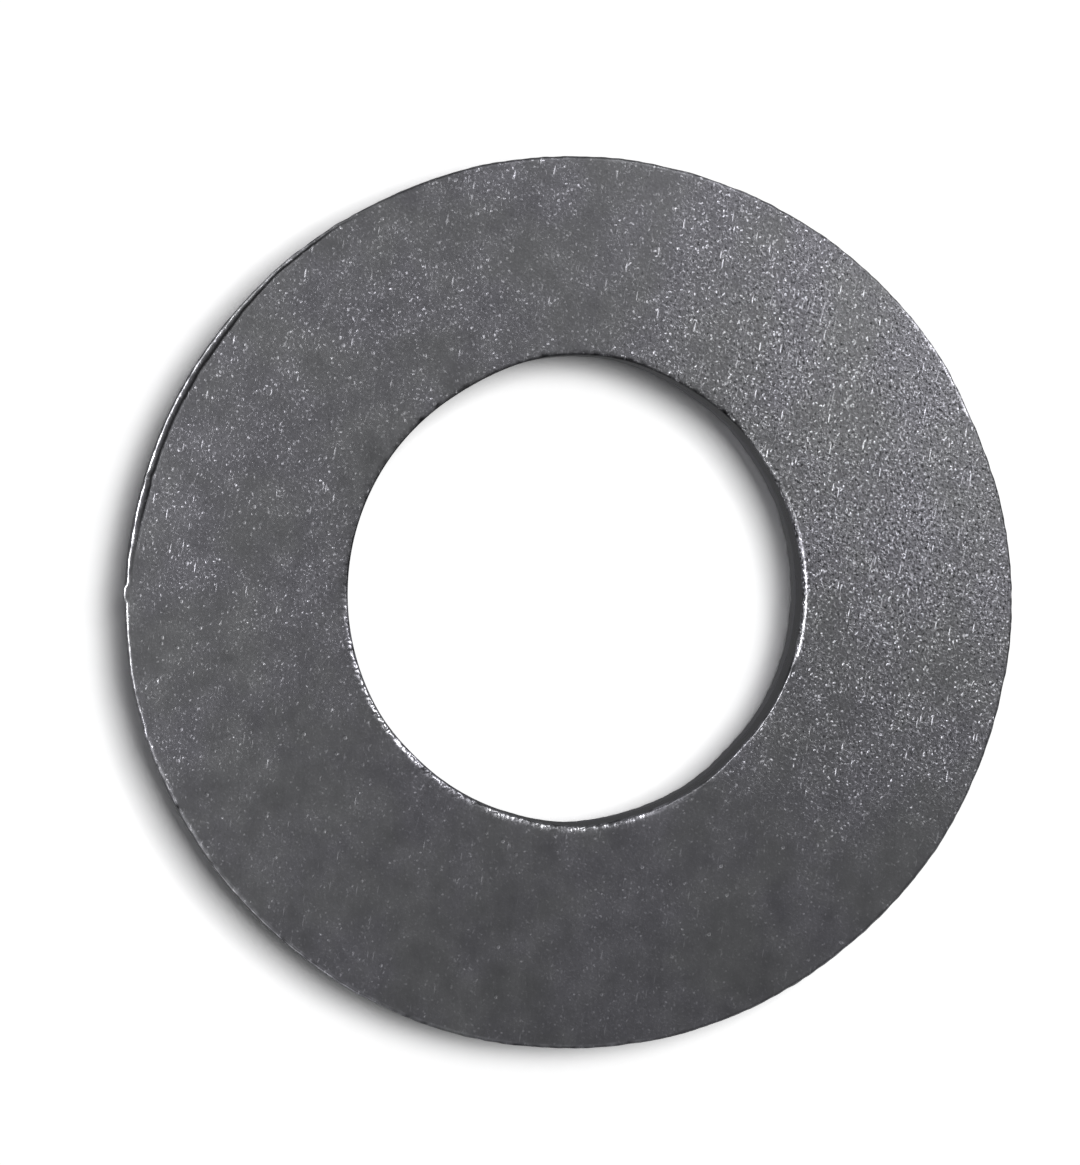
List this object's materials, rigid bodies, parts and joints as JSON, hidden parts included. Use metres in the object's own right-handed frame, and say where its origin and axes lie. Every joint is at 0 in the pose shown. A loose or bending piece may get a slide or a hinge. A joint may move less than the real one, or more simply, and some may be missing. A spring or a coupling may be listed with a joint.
{
  "type": "flat washer",
  "caption": "Plain flat steel washer: a thin flat ring, stamped from strip, that spreads a bolt's or nut's load.",
  "frame": {"origin": "centre of the rim, in the plane of the underside", "axes": "+Z along the washer's axis, out of the face that the hole was punched from"},
  "size_m": [0.02, 0.02, 0.002],
  "materials": {
    "steel": "dark tumbled mill finish"
  },
  "bodies": {
    "root": {"washer": "steel"}
  },
  "joints": []
}
